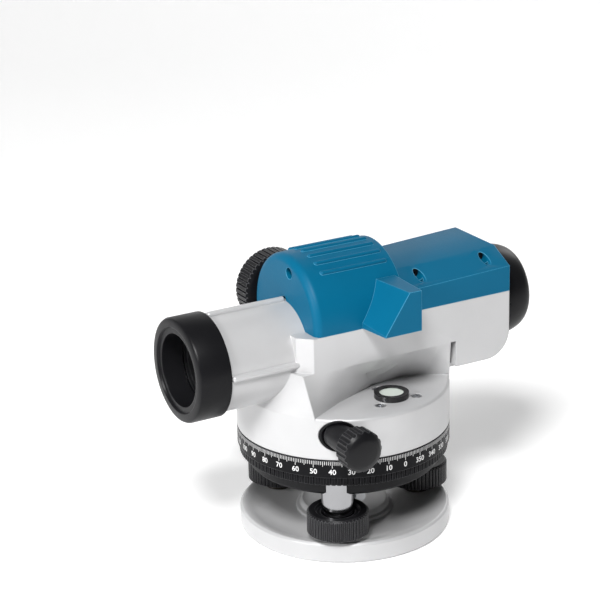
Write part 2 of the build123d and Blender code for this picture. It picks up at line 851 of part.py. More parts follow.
def focus_shaft():
    """Steel shaft with the pinion that moves the focusing lens."""
    place = (focus_shaft_x, focus_shaft_height)
    end = -focus_knob_inner_face - focus_knob_length / 2
    shaft = rod(focus_shaft_radius, end, pinion_side - pinion_length, "Y", place)
    pinion = toothed(pinion_tip_radius, pinion_root_radius, pinion_teeth, pinion_length)
    pinion = Pos(focus_shaft_x, pinion_side - pinion_length, focus_shaft_height) * Rot(-90, 0, 0) * pinion
    return shaft + pinion


def focus_knob():
    """Large black ribbed knob on the far side of the body."""
    grip = toothed(focus_knob_radius, focus_knob_radius - focus_knob_rib_depth, focus_knob_ribs, focus_knob_length, 0.6)
    e = focus_knob_edge
    r = focus_knob_radius
    envelope = turned(
        [
            (focus_shaft_radius, 0),
            (r - 2.5 * e, 0),
            (r, e),
            (r, focus_knob_length - e),
            (r - e, focus_knob_length),
            (r - 4 * e, focus_knob_length),
            (r - 5 * e, focus_knob_length - e),
            (0, focus_knob_length - 0.5 * e),
            (0, focus_knob_length / 2),
            (focus_shaft_radius, focus_knob_length / 2),
        ]
    )
    knob = grip & envelope
    return Pos(focus_shaft_x, -focus_knob_inner_face, focus_shaft_height) * Rot(90, 0, 0) * knob


rack_top = focus_shaft_height - pinion_tip_radius - gear_gap


def focus_cell():
    """Sliding cell that carries the focusing lens on two guide rods."""
    start = focus_shaft_x - focus_cell_length / 2
    end = start + focus_cell_length
    place = (0, sight_height)
    cell = rod(focus_cell_radius, start, end, "X", place)
    for side in (-rod_side, rod_side):
        cell += rod(ear_radius, start, end, "X", (side, sight_height))
        reach = (min(0, side), max(0, side))
        cell += block((start, end), reach, (sight_height - 2, sight_height + 2))
    cell -= rod(focus_lens_radius, start, end, "X", place)
    for side in (-rod_side, rod_side):
        cell -= rod(rod_radius + shaft_clearance, start, end, "X", (side, sight_height))
    return cell


def focus_rack():
    """Brass rack along the top of the focusing cell."""
    middle = pinion_side - pinion_length / 2
    bottom = sight_height + math.sqrt(focus_cell_radius**2 - (abs(middle) + rack_width / 2) ** 2)
    start = focus_shaft_x - rack_length / 2
    outline = [(start, bottom), (start, rack_top - 0.8)]
    teeth = int(rack_length / rack_tooth_pitch)
    for n in range(teeth):
        x = start + n * rack_tooth_pitch
        outline += [(x + 0.3, rack_top - 0.8), (x + 0.6, rack_top), (x + 1.1, rack_top)]
        outline += [(x + 1.4, rack_top - 0.8)]
    outline += [(start + rack_length, rack_top - 0.8), (start + rack_length, bottom)]
    low = middle - rack_width / 2
    face = make_face(Polyline(*[(x, low, z) for x, z in outline], close=True))
    bar = extrude(face, rack_width, dir=(0, 1, 0))
    return bar - rod(focus_cell_radius, start - 1, start + rack_length + 1, "X", (0, sight_height))


def guide_rods():
    """Two steel rods between the casting's front wall and the compensator frame."""
    return [
        rod(rod_radius, frame_front - frame_plate_thickness, rod_front, "X", (side, sight_height))
        for side in (-rod_side, rod_side)
    ]


# ---------------------------------------------------------------- compensator
def compensator_frame():
    """Bracket on the floor of the body that carries the pendulum's pivot."""
    w = frame_half_width
    floor_top = cavity_floor + frame_base_thickness
    body = block((frame_rear, frame_front), (-w, w), (cavity_floor, floor_top))
    back = frame_front - frame_plate_thickness
    body += block((back, frame_front), (-w, w), (cavity_floor, frame_front_top))
    body -= rod(frame_window_radius, back - 1, frame_front + 1, "X", (0, sight_height))
    for side in (-rod_side, rod_side):
        body -= rod(rod_radius, back - 1, frame_front + 1, "X", (side, sight_height))
    for side in (-1, 1):
        low = min(side * w, side * (w - ear_thickness))
        ear_range = (pivot_x - ear_half_length, pivot_x + ear_half_length)
        body += block(ear_range, (low, low + ear_thickness), (cavity_floor, ear_top))
        body -= rod(pivot_radius + shaft_clearance, low - 1, low + ear_thickness + 1, "Y", (pivot_x, pivot_height))
    return body


def pendulum():
    """Swinging part: pivot pin, two arms, and the copper damper blade under the prism."""
    w = frame_half_width
    body = rod(pivot_radius, -w, w, "Y", (pivot_x, pivot_height))
    half = arm_width / 2
    prism_bottom = prism_height - prism_size / 2
    for side in (-1, 1):
        low = min(side * arm_side, side * (arm_side - arm_thickness))
        arm_range = (low, low + arm_thickness)
        body += block((pivot_x - half, pivot_x + half), arm_range, (prism_bottom - 2, pivot_height))
    body += block((pivot_x - half, pivot_x + half), (-arm_side, arm_side), (prism_bottom - 2, prism_bottom))
    blade = damper_blade_thickness / 2
    body += block((pivot_x - half, pivot_x + half), (-blade, blade), (damper_blade_bottom, prism_bottom))
    return body


def prism():
    """Glass prism carried between the pendulum's arms."""
    half = prism_size / 2
    width = arm_side - arm_thickness
    low = prism_height - half
    outline = [(pivot_x - half, low), (pivot_x + half, low), (pivot_x, low + prism_size)]
    face = make_face(Polyline(*[(x, -width, z) for x, z in outline], close=True))
    return extrude(face, 2 * width, dir=(0, 1, 0))


def damper_magnets():
    """Two magnets beside the damper blade."""
    floor_top = cavity_floor + frame_base_thickness
    x_range = (pivot_x - magnet_length / 2, pivot_x + magnet_length / 2)
    magnets = []
    for side in (-1, 1):
        near = damper_blade_thickness / 2 + magnet_gap
        low = min(side * near, side * (near + magnet_width))
        top = min(floor_top + magnet_height, prism_height - prism_size / 2 - 3)
        magnets.append(block(x_range, (low, low + magnet_width), (floor_top, top)))
    return magnets


# ---------------------------------------------------------------- reticle and eyepiece
def reticle_cell():
    """Black ring with the cross-hair glass, held on a bracket in front of the eyepiece."""
    place = (0, eye_height)
    rear = reticle_front - reticle_length
    cell = rod(reticle_radius, rear, reticle_front, "X", place)
    cell += block((rear, reticle_front), (-6, 6), (cavity_floor, eye_height))
    return cell - rod(reticle_glass_radius, rear, reticle_front, "X", place)


def reticle_glass():
    """Thin glass disc with the cross hairs."""
    middle = reticle_front - reticle_length / 2
    return rod(reticle_glass_radius, middle - 0.75, middle + 0.75, "X", (0, eye_height))


def eyepiece_collar():
    """Black collar screwed to the rear of the body; its sleeve guides the eyepiece tube."""
    place = (0, eye_height)
    collar = rod(eyepiece_collar_radius, eyepiece_collar_rear, body_rear, "X", place)
    collar &= block((-200, 0), (-50, 50), (tail_bottom + 1.5, 200))
    collar += rod(eyepiece_sleeve_radius, eyepiece_sleeve_rear, body_rear, "X", place)
    bore = eyepiece_tube_radius + shaft_clearance
    return collar - rod(bore, eyepiece_sleeve_rear - 1, body_rear + 1, "X", place)


def eyepiece_tube():
    """Sliding tube with the two eyepiece lenses."""
    place = (0, eye_height)
    outer = tube(
        eyepiece_tube_radius, eyepiece_tube_radius - eyepiece_tube_wall,
        eyepiece_tube_rear, eyepiece_tube_front, "X", place,
    )
    stop_rear = eyepiece_tube_rear + 1.6
    outer += tube(eyepiece_tube_radius, eye_lens_radius - 1, eyepiece_tube_rear, stop_rear, "X", place)
    return outer


def dioptre_ring():
    """Domed black ring that is turned to focus the cross hairs."""
    length = eyepiece_collar_rear - dioptre_front_gap - dioptre_rear
    points = []
    inner = eyepiece_sleeve_radius + 0.4
    sleeve_depth = eyepiece_collar_rear - dioptre_front_gap - eyepiece_sleeve_rear + 1.0
    steps = 12
    for n in range(steps + 1):
        turn = math.radians(90 * n / steps)
        radius = dioptre_rear_radius + (dioptre_front_radius - dioptre_rear_radius) * math.cos(turn) ** 0.9
        points.append((radius, length * math.sin(turn)))
    mouth = eyepiece_tube_radius + 0.4
    points += [(dioptre_rear_radius - 1.5, length), (mouth + 1.2, length - 3.2), (mouth, length - 3.2)]
    points += [(mouth, sleeve_depth), (inner, sleeve_depth), (inner, 0)]
    ring = turned(points)
    notch = Rot(0, 14, 0) * rod(dioptre_notch_radius, -1, 9.0)
    reach = dioptre_front_radius + 0.8
    for n in range(dioptre_notches):
        ring -= Rot(0, 0, n * 360 / dioptre_notches) * Pos(reach, 0, 0) * notch
    return Pos(eyepiece_collar_rear - dioptre_front_gap, 0, eye_height) * Rot(0, -90, 0) * ring


# ---------------------------------------------------------------- cover
def cover_outside(inset=0.0):
    """Outer form of the blue cover, or its inside when inset is the wall thickness."""
    w = body_half_width - inset
    barrel_bottom = joint_height_front
    x0 = joint_step + inset
    x1 = cover_front - inset
    barrel = rod(w, x0, x1, "X", (0, cover_arc_height))
    barrel = barrel & block((x0, x1), (-w, w), (cover_arc_height, 200))
    barrel += block((x0, x1), (-w, w), (barrel_bottom - inset, cover_arc_height))
    if not inset:
        front_face = barrel.faces().sort_by(Axis.X)[-1]
        rim = front_face.edges().filter_by(lambda edge: edge.center().Z > barrel_bottom + 0.1)
        barrel = fillet(rim, cover_front_edge)
    rear = body_rear + inset
    front = joint_step + cover_box_lap
    sections = []
    for x, half_width, foot, top in (
        (front, cover_box_front_half_width, cover_box_front_foot, cover_box_front_top - inset),
        (rear, cover_box_rear_half_width, cover_box_rear_foot, cover_box_rear_top - inset),
    ):
        t = half_width - 0.4 * inset
        corners = [(-w, joint_height_rear - inset), (w, joint_height_rear - inset)]
        corners += [(w, foot), (t, top), (-t, top), (-w, foot)]
        sections.append(make_face(Polyline(*[(x, y, z) for y, z in corners], close=True)))
    return barrel + loft(sections, ruled=True)


def chamfer_height(x, y):
    """Height of the rear box's chamfer at one place in plan."""
    share = (x - body_rear) / (joint_step + cover_box_lap - body_rear)
    foot = cover_box_rear_foot + share * (cover_box_front_foot - cover_box_rear_foot)
    top = cover_box_rear_top + share * (cover_box_front_top - cover_box_rear_top)
    edge = cover_box_rear_half_width + share * (cover_box_front_half_width - cover_box_rear_half_width)
    return foot + (top - foot) * (body_half_width - y) / (body_half_width - edge)


def cover_places():
    """Seat, recess radius and recess depth of each cover screw: four from the sides, one in front."""
    depth = cover_screw_side - cover_recess_floor
    places = []
    for x in cover_screw_places:
        for side in (-1, 1):
            seat = Pos(x, side * cover_recess_floor, chamfer_height(x, cover_screw_side)) * Rot(-side * 90, 0, 0)
            places.append((seat, cover_recess_radius, depth))
    seat = Pos(cover_front - front_recess_depth, front_screw_side, front_screw_height) * Rot(0, 90, 0)
    places.append((seat, front_recess_radius, front_recess_depth))
    return places


def top_cover():
    """Blue moulded cover: ribbed barrel in front and a chamfered box behind."""
    shell = cover_outside()
    shell -= cover_outside(cover_wall)
    # open the floor of the shell, down to the joint with the casting
    inner = body_half_width - cover_wall
    shell -= block((joint_step, cover_front - cover_wall), (-inner, inner), (120, cover_arc_height))
    shell -= block((body_rear + cover_wall, joint_step + cover_wall), (-inner, inner), (120, joint_height_rear + 6))
    # the telescope tube and its top rib pass through the front wall
    shell -= rod(tube_radius, cover_front - 8, cover_front + 1, "X", (0, sight_height))
    rib_top = sight_height + tube_radius + tube_rib_rise
    shell -= rod(tube_rib_radius, cover_front - 8, cover_front + 1, "X", (0, rib_top))
    shell -= rod(focus_bush_radius + 0.4, -60, -20, "Y", (focus_shaft_x, focus_shaft_height))
    shell -= rod(eyepiece_sleeve_radius - 1, body_rear - 1, body_rear + cover_wall + 1, "X", (0, eye_height))
    # bosses behind the screw recesses
    for seat, radius, depth in cover_places():
        boss = seat * rod(radius + recess_boss_wall, -recess_boss_floor, depth)
        shell += boss & cover_outside()
    for seat, radius, depth in cover_places():
        shell -= seat * rod(radius, 0, 3 * depth)
        shell -= seat * rod(screw_shank_radius, -recess_boss_floor - 1, 0)
    return shell


def cover_ribs():
    """Raised grip ribs along the top of the barrel, moulded with the cover."""
    ribs = []
    for n in range(cover_rib_count):
        turn = (n - (cover_rib_count - 1) / 2) * cover_rib_spacing
        rib = rod(cover_rib_radius, cover_rib_rear, cover_rib_front, "X")
        rib += Pos(cover_rib_rear, 0, 0) * Sphere(cover_rib_radius)
        rib += Pos(cover_rib_front, 0, 0) * Sphere(cover_rib_radius)
        rib = Pos(0, 0, body_half_width) * rib
        ribs.append(Pos(0, 0, cover_arc_height) * Rot(turn, 0, 0) * rib)
    return ribs


def cover_screws():
    """Black socket screws at the bottom of the cover's recesses."""
    screws = []
    for seat, radius, depth in cover_places():
        screw = rod(screw_head_radius, 0, screw_head_height) + rod(screw_shank_radius, -recess_boss_floor, 0)
        socket = extrude(RegularPolygon(screw_socket_radius, 6), screw_socket_depth)
        screw -= Pos(0, 0, screw_head_height - screw_socket_depth) * socket
        screws.append(seat * screw)
    return screws


def hood_form(inset):
    """Wedge-shaped outline of the bubble hood between the barrel and its outer side."""
    lean = 3.0
    inner = [(hood_rear, hood_top + 0.6), (-6.5, hood_top + 0.6), (7.8, 131.7), (7.8, hood_bottom)]
    outer = [(hood_rear, hood_top), (-10.2, hood_top), (5.0, 128.7), (5.0, hood_bottom)]
    inner.append((hood_rear, hood_bottom))
    outer.append((hood_rear, hood_bottom))
    shift = inset
    def moved(points):
        flat = [(x - shift, z - shift) if z > hood_bottom else (x - shift, z - 5 * shift) for x, z in points]
        return flat
    inner_y = 20.0
    slope = (hood_side - body_half_width + lean) / (hood_side - inner_y)
    start = [(xo + (xi - xo) / slope, zo + (zi - zo) / slope) for (xi, zi), (xo, zo) in zip(inner, outer)]
    faces = []
    for y, points in ((inner_y, moved(start)), (hood_side - inset, moved(outer))):
        faces.append(make_face(Polyline(*[(x, y, z) for x, z in points], close=True)))
    return loft(faces, ruled=True)


def bubble_hood():
    """Blue hood over the bubble, open below and behind, that holds the viewing mirror."""
    hood = hood_form(0) - hood_form(hood_wall)
    return hood - cover_outside()


def hood_mirror():
    """Glass mirror behind the hood's sloping front, facing the bubble and the observer."""
    y0 = body_half_width + 0.6
    y1 = hood_side - hood_wall - 0.6
    top = (-13.4, hood_top - hood_wall - 1.6)
    bottom = (1.6, hood_bottom + 1.2)
    length = math.dist(top, bottom)
    normal = ((bottom[1] - top[1]) / length, -(bottom[0] - top[0]) / length)
    far = [(x + mirror_thickness * normal[0], z + mirror_thickness * normal[1]) for x, z in (bottom, top)]
    face = make_face(Polyline(*[(x, y0, z) for x, z in [top, bottom] + far], close=True))
    return extrude(face, y1 - y0, dir=(0, 1, 0))


# ---------------------------------------------------------------- circular bubble
def vial_ring():
    """Black ring that holds the circular vial on the shelf."""
    place = (bubble_x, bubble_y)
    top = shelf_height + vial_ring_height
    ring = rod(vial_ring_radius, shelf_height, top, at=place)
    ring += rod(vial_body_radius, shelf_height - vial_depth, shelf_height, at=place)
    ring -= rod(vial_window_radius, top - 0.8, top, at=place)
    return ring - rod(vial_glass_radius, shelf_height - vial_depth + 1, top - 0.8, at=place)


def vial_glass():
    """Glass vial with its domed liquid space."""
    place = (bubble_x, bubble_y)
    return rod(vial_glass_radius, shelf_height - vial_depth + 1, shelf_height + vial_ring_height - 0.8, at=place)


def vial_screws():
    """Three screws that tilt the vial when it is adjusted."""
    screws = []
    seat = shelf_height - bubble_screw_recess_depth
    for angle in bubble_screw_angles:
        spot = bubble_screw_spot(angle)
        screw = rod(bubble_screw_head_radius, seat, shelf_height - 0.1, at=spot)
        screw -= Pos(spot[0], spot[1], seat + 0.5) * extrude(RegularPolygon(1.2, 6), 2)
        screw += rod(1.2, shelf_height - bubble_screw_length, seat, at=spot)
        screws.append(screw)
    return screws


# ---------------------------------------------------------------- write the pieces
os.makedirs("parts", exist_ok=True)


def write(name, shape):
    """One STEP file for one node; a list of solids becomes one group."""
    if isinstance(shape, list):
        solids = [solid for piece in shape for solid in piece.solids()]
        shape = Compound(children=solids)
    export_step(shape, f"parts/{name}.step")


cup, retainer = foot_seat()
write("base_plate", base_plate())
write("thread_bush", thread_bush())
write("foot_seats", at_feet(cup))
write("ball_retainers", at_feet(retainer))
for number, stud in enumerate(at_feet(foot_stud()), 1):
    write(f"foot_stud_{number}", stud)
for number, knob in enumerate(at_feet(foot_knob()), 1):
    write(f"foot_knob_{number}", knob)
write("tribrach", tribrach())
write("foot_sleeves", at_feet(foot_sleeve()))
write("axis_bush", axis_bush())
write("circle_washer", circle_washer())
write("circle_retainer", circle_retainer())
write("clutch_washer", clutch_washer())
write("wheel_retainer", wheel_retainer())
write("horizontal_circle", horizontal_circle())
write("worm_wheel", worm_wheel())
write("tangent_shaft", tangent_shaft())
write("tangent_bushes", [tangent_bush(), mirrored(tangent_bush())])
write("tangent_knob_left", tangent_knob())
write("tangent_knob_right", mirrored(tangent_knob()))
write("main_housing", main_housing())
write("spindle", spindle())
write("spindle_screws", spindle_screws())
write("spindle_nut", spindle_nut())
write("objective_ring", objective_ring())
write("objective_cell", objective_cell())
write("objective_lens", lens(
    objective_lens_radius, objective_lens_front, objective_lens_thickness, objective_lens_bulge, sight_height
))
write("objective_retainer", objective_retainer())
write("focus_bush", focus_bush())
write("focus_shaft", focus_shaft())
write("focus_knob", focus_knob())
write("focus_cell", focus_cell())
write("focus_rack", focus_rack())
focus_lens_front = focus_shaft_x + focus_lens_thickness / 2
write("focus_lens", lens(focus_lens_radius, focus_lens_front, focus_lens_thickness, 0.6, sight_height))
write("guide_rods", guide_rods())
write("compensator_frame", compensator_frame())
write("pendulum", pendulum())
write("prism", prism())
write("damper_magnets", damper_magnets())
write("reticle_cell", reticle_cell())
write("reticle_glass", reticle_glass())
write("eyepiece_collar", eyepiece_collar())
write("eyepiece_tube", eyepiece_tube())
lens_bore = eyepiece_tube_radius - eyepiece_tube_wall
eye_lens_front = eyepiece_tube_rear + 1.6 + eye_lens_thickness
write("eye_lens", lens(lens_bore, eye_lens_front, eye_lens_thickness, 0.8, eye_height))
write("field_lens", lens(lens_bore, eyepiece_tube_front - 2, field_lens_thickness, 1.2, eye_height))
write("dioptre_ring", dioptre_ring())
cover = top_cover()
for rib in cover_ribs():
    cover += rib
write("top_cover", cover)
write("cover_screws", cover_screws())
write("bubble_hood", bubble_hood())
write("hood_mirror", hood_mirror())
write("vial_ring", vial_ring())
write("vial_glass", vial_glass())
write("vial_screws", vial_screws())
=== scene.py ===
import math

import bmesh
import bpy
import numpy as np
from mathutils import Matrix, Vector


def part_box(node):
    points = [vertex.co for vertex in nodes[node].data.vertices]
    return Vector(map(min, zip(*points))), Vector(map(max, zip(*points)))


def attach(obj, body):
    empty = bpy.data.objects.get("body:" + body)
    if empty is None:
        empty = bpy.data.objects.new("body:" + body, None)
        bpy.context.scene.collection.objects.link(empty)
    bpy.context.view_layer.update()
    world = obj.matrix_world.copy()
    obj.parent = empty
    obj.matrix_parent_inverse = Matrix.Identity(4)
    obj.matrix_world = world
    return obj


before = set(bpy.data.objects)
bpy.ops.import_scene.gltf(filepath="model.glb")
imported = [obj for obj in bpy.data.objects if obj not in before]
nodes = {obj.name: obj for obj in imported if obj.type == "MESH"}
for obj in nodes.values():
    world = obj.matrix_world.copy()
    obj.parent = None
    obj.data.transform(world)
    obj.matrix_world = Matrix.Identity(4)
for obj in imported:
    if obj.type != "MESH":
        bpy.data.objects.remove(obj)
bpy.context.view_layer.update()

scene = bpy.context.scene


# ---- Camera -------------------------------------------------------------------
# A long lens a little over a metre away, looking down at the bubble side of the
# instrument from in front.
camera_place = Vector((0.56726, 0.96722, 0.53476))
camera_back = Vector((0.45961, 0.82149, 0.33751)).normalized()
camera_roll = math.radians(-1.32)

level_right = Vector((0, 0, 1)).cross(camera_back).normalized()
level_up = camera_back.cross(level_right)
right = level_right * math.cos(camera_roll) + level_up * math.sin(camera_roll)
up = level_up * math.cos(camera_roll) - level_right * math.sin(camera_roll)
camera_data = bpy.data.cameras.new("camera")
camera_data.lens = 129.15
camera_data.sensor_width = 36
camera_data.clip_end = 20
camera = bpy.data.objects.new("camera", camera_data)
camera_turn = Matrix((right, up, camera_back)).transposed().to_4x4()
camera.matrix_world = Matrix.Translation(camera_place) @ camera_turn
scene.collection.objects.link(camera)
scene.camera = camera


# ---- Studio -------------------------------------------------------------------
# A pale paper sheet that lies flat under the base and curves up behind. It glows a
# little, and three soft lamps and an even white room light the instrument.
class Wire:
    """A socket in a finish's node tree. + - and * on wires and numbers add Math nodes."""

    def __init__(self, socket):
        self.socket = socket
        self.tree = socket.id_data

    def node(self, kind, settings, inputs, output=0):
        """Adds a node of any kind: its settings first, then the values or wires of its inputs."""
        made = self.tree.nodes.new(kind)
        for name, value in settings.items():
            setattr(made, name, value)
        for name, value in inputs.items():
            if isinstance(value, Wire):
                self.tree.links.new(value.socket, made.inputs[name])
            else:
                made.inputs[name].default_value = value
        return Wire(made.outputs[output])

    def math(self, operation, first, second=0.0):
        return self.node("ShaderNodeMath", {"operation": operation}, {0: first, 1: second})

    def __add__(self, other):
        return self.math("ADD", self, other)

    def __sub__(self, other):
        return self.math("SUBTRACT", self, other)

    def __rsub__(self, other):
        return self.math("SUBTRACT", other, self)

    def __mul__(self, other):
        return self.math("MULTIPLY", self, other)

    __radd__ = __add__
    __rmul__ = __mul__


class Finish:
    """A material with one Principled shader. Keywords are constants of its sockets."""

    edge_gain = 4.0
    bevel_samples = 8

    def __init__(self, name, **constants):
        self.material = bpy.data.materials.new(name)
        self.material.use_nodes = True
        tree = self.material.node_tree
        self.shader = tree.nodes["Principled BSDF"]
        self.place = Wire(tree.nodes.new("ShaderNodeTexCoord").outputs["Object"])
        for socket, value in constants.items():
            self.shader.inputs[socket.replace("_", " ")].default_value = value

    def feed(self, socket, wire):
        self.material.node_tree.links.new(wire.socket, self.shader.inputs[socket])

    def noise(self, scale, detail=3.0, stretch=(1, 1, 1)):
        """Cloudy variation from 0 to 1, scale features per metre, drawn out where stretch is small."""
        place = self.place.node("ShaderNodeMapping", {}, {"Vector": self.place, "Scale": stretch})
        return self.place.node("ShaderNodeTexNoise", {}, {"Vector": place, "Scale": scale, "Detail": detail})

    def colours(self, mask, dark, light):
        """The first colour where the mask is 0, the second where it is 1."""
        inputs = {0: mask, 6: (*dark, 1), 7: (*light, 1)}
        return self.place.node("ShaderNodeMix", {"data_type": "RGBA"}, inputs, 2)

    def relief(self, height, depth, rounding):
        """Bumps depth metres high, on a surface whose edges look rounded by rounding metres."""
        soft = self.place.node("ShaderNodeBevel", {"samples": self.bevel_samples}, {"Radius": rounding})
        inputs = {"Height": height, "Distance": depth, "Normal": soft}
        self.feed("Normal", self.place.node("ShaderNodeBump", {}, inputs))

    def worn(self, rounding):
        """Mask for a painted highlight: 1 on sharp edges, 0 on open faces: how far the rounded normal leaves
        the true one.
        """
        soft = self.place.node("ShaderNodeBevel", {"samples": self.bevel_samples}, {"Radius": rounding})
        true = self.place.node("ShaderNodeNewGeometry", {}, {}, "Normal")
        product = {"operation": "DOT_PRODUCT"}
        along = self.place.node("ShaderNodeVectorMath", product, {0: soft, 1: true}, "Value")
        return (1.0 - along) * self.edge_gain


def plain_finish(name, dark, light, rough, grain, depth, rounding, stretch=(1, 1, 1), **constants):
    """Cloudy colour from dark to light, roughness that varies on both sides of rough, and fine grain.

    grain is its features per metre, depth its height and rounding the softened edges' radius, in metres.
    """
    clouds, spread = 50.0, 0.08
    finish = Finish(name, **constants)
    finish.feed("Base Color", finish.colours(finish.noise(clouds), dark, light))
    fine = finish.noise(grain, 3.0, stretch)
    finish.feed("Roughness", fine * (2 * spread) + (rough - spread))
    finish.relief(fine, depth, rounding)
    return finish.material


def grid_faces(rows, columns):
    """Quads between neighbours of a grid of rows times columns points."""
    index = np.arange(rows * columns).reshape(rows, columns)
    here, after = index[:, :-1], index[:, 1:]
    return np.stack([here[:-1], after[:-1], after[1:], here[1:]], axis=-1).reshape(-1, 4)


def crisp(obj, angle):
    """Splits edges sharper than the angle in degrees, so that flat and round faces both shade right."""
    split = obj.modifiers.new("crisp", "EDGE_SPLIT")
    split.split_angle = math.radians(angle)
    split.use_edge_sharp = False


def surface(name, points, faces, material):
    """A smooth mesh from arrays of points and faces, with touching points merged."""
    mesh = bpy.data.meshes.new(name)
    mesh.from_pydata(points.reshape(-1, 3).tolist(), [], faces.tolist())
    work = bmesh.new()
    work.from_mesh(mesh)
    bmesh.ops.remove_doubles(work, verts=work.verts, dist=1e-7)
    bmesh.ops.recalc_face_normals(work, faces=work.faces)
    work.to_mesh(mesh)
    work.free()
    mesh.shade_smooth()
    mesh.materials.append(material)
    obj = bpy.data.objects.new(name, mesh)
    scene.collection.objects.link(obj)
    return obj


def studio_sheet():
    """Floor, bend and wall: (away, height) runs flat, then through radius * (sin t, 1 - cos t), then up."""
    bend = np.linspace(0, math.pi / 2, 24)
    radius, flat, near_edge, top, half_width = 0.8, 1.1, -1.6, 3.2, 3.5
    away = np.concatenate([[near_edge], flat + radius * np.sin(bend), [flat + radius]])
    height = np.concatenate([[0.0], radius * (1 - np.cos(bend)), [top]])
    heading = -np.array((camera_back.x, camera_back.y, 0))
    heading /= np.linalg.norm(heading)
    side = np.array((heading[1], -heading[0], 0))
    across = np.array([-half_width, half_width])
    flat_part = away[:, None, None] * heading + across[None, :, None] * side
    return flat_part + height[:, None, None] * np.array((0, 0, 1))


paper = plain_finish(
    "pale_paper", (0.90, 0.90, 0.90), (0.92, 0.92, 0.92), 0.85, 900.0, 0.00002, 0.0005,
    Emission_Color=(1, 1, 1, 1), Emission_Strength=0.25,
)
sheet_grid = studio_sheet()
sheet = surface("studio_sheet", sheet_grid, grid_faces(*sheet_grid.shape[:2]), paper)
if sheet.data.polygons[0].normal.z < 0:
    sheet.data.flip_normals()


lamp_target = Vector((0.0, 0.0, 0.09))


def lamp(name, place, size, power):
    """A round lamp, size metres across, aimed at the middle of the instrument."""
    data = bpy.data.lights.new(name, "AREA")
    data.shape = "DISK"
    data.size = size
    data.energy = power
    obj = bpy.data.objects.new(name, data)
    obj.location = place
    obj.rotation_euler = (lamp_target - Vector(place)).to_track_quat("-Z", "Y").to_euler()
    scene.collection.objects.link(obj)


lamp("key_lamp", (1.55, 0.30, 0.70), 0.40, 16)
lamp("top_lamp", (0.70, 0.85, 1.35), 0.45, 30)
lamp("back_lamp", (-1.4, -0.8, 0.9), 0.7, 4)
room = bpy.data.worlds.new("room")
room.use_nodes = True
room.node_tree.nodes["Background"].inputs["Color"].default_value = (1.0, 1.0, 1.0, 1)
room.node_tree.nodes["Background"].inputs["Strength"].default_value = 0.10
scene.world = room
scene.view_settings.view_transform = "Standard"


def dress(names, material, sharp=30.0):
    """Gives CAD nodes their finish, joins their loose triangles and shades them smooth."""
    for name in names:
        obj = nodes[name]
        obj.data.materials.clear()
        obj.data.materials.append(material)
        obj.data.shade_smooth()
        obj.modifiers.new("weld", "WELD").merge_threshold = 1e-6
        crisp(obj, sharp)


silver = plain_finish(
    "silver_paint", (0.46, 0.46, 0.465), (0.52, 0.52, 0.525), 0.36, 2200.0, 0.00003, 0.0009,
    Metallic=0.2, Coat_Weight=0.15,
)
steel = plain_finish(
    "turned_steel", (0.50, 0.51, 0.53), (0.60, 0.61, 0.63), 0.32, 900.0, 0.00001, 0.0002,
    stretch=(1, 1, 8), Metallic=1.0,
)
brass = plain_finish(
    "turned_brass", (0.55, 0.38, 0.13), (0.68, 0.50, 0.20), 0.30, 900.0, 0.00001, 0.0002,
    stretch=(1, 1, 8), Metallic=1.0,
)
dress(["base_plate"], silver)
dress(["thread_bush"], steel)
# The foot seats and ball retainers lie in shade round the feet, so their brass is painted near black as a
# painted shade.
shade_dark_brass = plain_finish(
    "shade_painted_brass", (0.020, 0.018, 0.015), (0.040, 0.034, 0.026), 0.45, 900.0, 0.00001, 0.0002, Metallic=0.5
)
dress(["foot_seats", "ball_retainers"], shade_dark_brass)


# ---- Foot screws ---------------------------------------------------------------
# Three steel studs on ball feet, each moulded into a black knob with a grooved rim.
rubber = Finish("black_rubber", IOR=1.3, Specular_IOR_Level=0.5)
# The knobs' sharp edges and ridges are painted pale grey: a painted highlight over the black rubber.
rubber_painted_highlight = rubber.worn(0.0005)
rubber.feed("Base Color", rubber.colours(rubber_painted_highlight, (0.005, 0.005, 0.006), (0.16, 0.16, 0.17)))
rubber_grain = rubber.noise(1800.0)
rubber.feed("Roughness", rubber_grain * 0.2 + 0.26)
rubber.relief(rubber_grain, 0.00002, 0.0004)
rubber = rubber.material
dress(["foot_stud_1", "foot_stud_2", "foot_stud_3"], steel)
dress(["foot_knob_1", "foot_knob_2", "foot_knob_3"], rubber)


# ---- Tribrach -------------------------------------------------------------------
# The black plate that the screws carry, with a chromed nut sleeve on each screw, and
# the brass axis bush, felt washers and retaining rings that the head turns on.
black_paint = plain_finish(
    "black_paint", (0.006, 0.006, 0.007), (0.010, 0.010, 0.011), 0.45, 1500.0, 0.00002, 0.0005,
    Specular_IOR_Level=0.15,
)
chrome = plain_finish(
    "chrome_plate", (0.30, 0.30, 0.31), (0.38, 0.38, 0.39), 0.12, 500.0, 0.0, 0.0003, Metallic=1.0
)
felt = plain_finish("black_felt", (0.02, 0.02, 0.02), (0.05, 0.05, 0.05), 0.9, 3000.0, 0.0002, 0.0002)
dress(["tribrach"], black_paint)
dress(["foot_sleeves"], chrome)
dress(["axis_bush", "clutch_washer"], brass)
dress(["circle_washer"], felt)
dress(["circle_retainer", "wheel_retainer"], steel)


